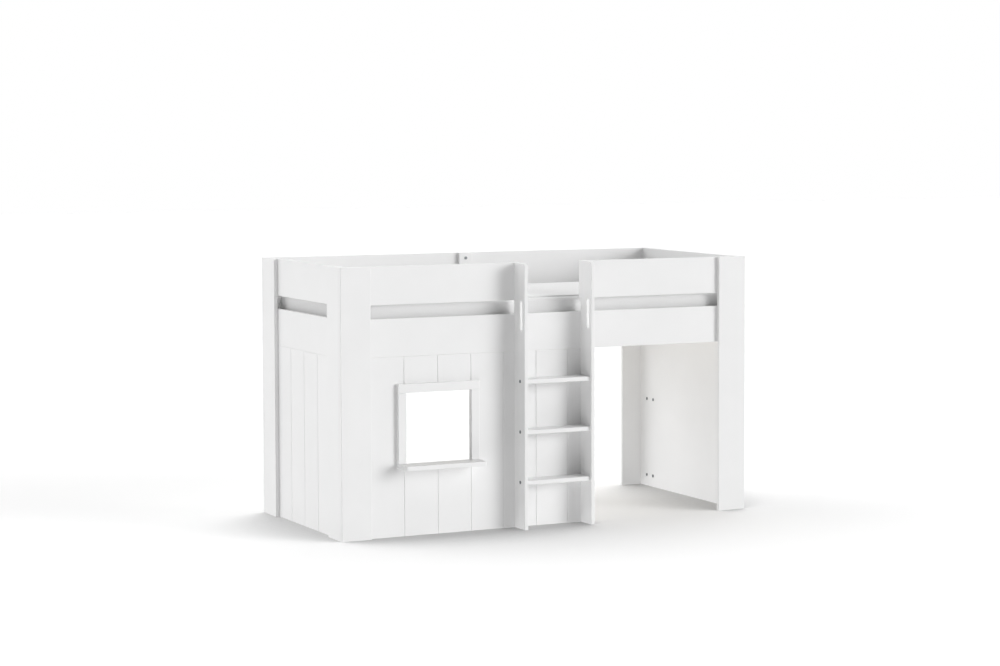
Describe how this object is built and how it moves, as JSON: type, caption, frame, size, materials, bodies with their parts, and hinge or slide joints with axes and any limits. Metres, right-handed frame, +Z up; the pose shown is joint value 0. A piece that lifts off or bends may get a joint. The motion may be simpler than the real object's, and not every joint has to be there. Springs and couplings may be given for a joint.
{
  "type": "half-high bed with ladder and play panel",
  "caption": "Raised child's bed of white boards with guard rails, a front ladder, a grooved play panel with a framed window and sill, and an open bay beneath the slatted base.",
  "frame": {"origin": "on the floor, under the middle of the whole outline with the ladder included", "axes": "+X along the mattress towards the open bay, +Y towards the rear, away from the ladder, +Z up"},
  "size_m": [2.08, 1.066, 1.216],
  "materials": {
    "white_lacquer": "satin white lacquer on fibreboard",
    "pine": "planed, unfinished",
    "zinc_steel": "zinc plated",
    "beech": "fluted, unfinished",
    "ticking": "white knitted ticking over foam"
  },
  "bodies": {
    "root": {"post_front_left_face": "white_lacquer", "post_front_left_side": "white_lacquer", "post_front_right_face": "white_lacquer", "post_front_right_side": "white_lacquer", "post_rear_left_face": "white_lacquer", "post_rear_left_side": "white_lacquer", "post_rear_right_face": "white_lacquer", "post_rear_right_side": "white_lacquer", "front_lower_rail": "white_lacquer", "front_guard_left": "white_lacquer", "front_guard_right": "white_lacquer", "rear_lower_rail": "white_lacquer", "rear_guard": "white_lacquer", "rear_centre_batten": "white_lacquer", "left_end_guard": "white_lacquer", "left_end_rail": "white_lacquer", "left_end_panel": "white_lacquer", "right_end_guard": "white_lacquer", "right_end_rail": "white_lacquer", "right_end_panel": "white_lacquer", "play_panel": "white_lacquer", "window_head": "white_lacquer", "window_jamb_left": "white_lacquer", "window_jamb_right": "white_lacquer", "window_sill": "white_lacquer", "ladder_stringer_left": "white_lacquer", "ladder_stringer_right": "white_lacquer", "ladder_tread_1": "white_lacquer", "ladder_tread_2": "white_lacquer", "ladder_tread_3": "white_lacquer", "base_bearer_front": "pine", "base_bearer_rear": "pine", "slat_01": "pine", "slat_02": "pine", "slat_03": "pine", "slat_04": "pine", "slat_05": "pine", "slat_06": "pine", "slat_07": "pine", "slat_08": "pine", "slat_09": "pine", "slat_10": "pine", "slat_11": "pine", "slat_12": "pine", "slat_13": "pine", "slat_14": "pine", "rail_bolts": "zinc_steel", "end_bolts": "zinc_steel", "batten_bolts": "zinc_steel", "ladder_bolts": "zinc_steel", "ladder_barrel_nuts": "zinc_steel", "ladder_screws": "zinc_steel", "tread_dowels": "beech", "mattress": "ticking"}
  },
  "joints": []
}
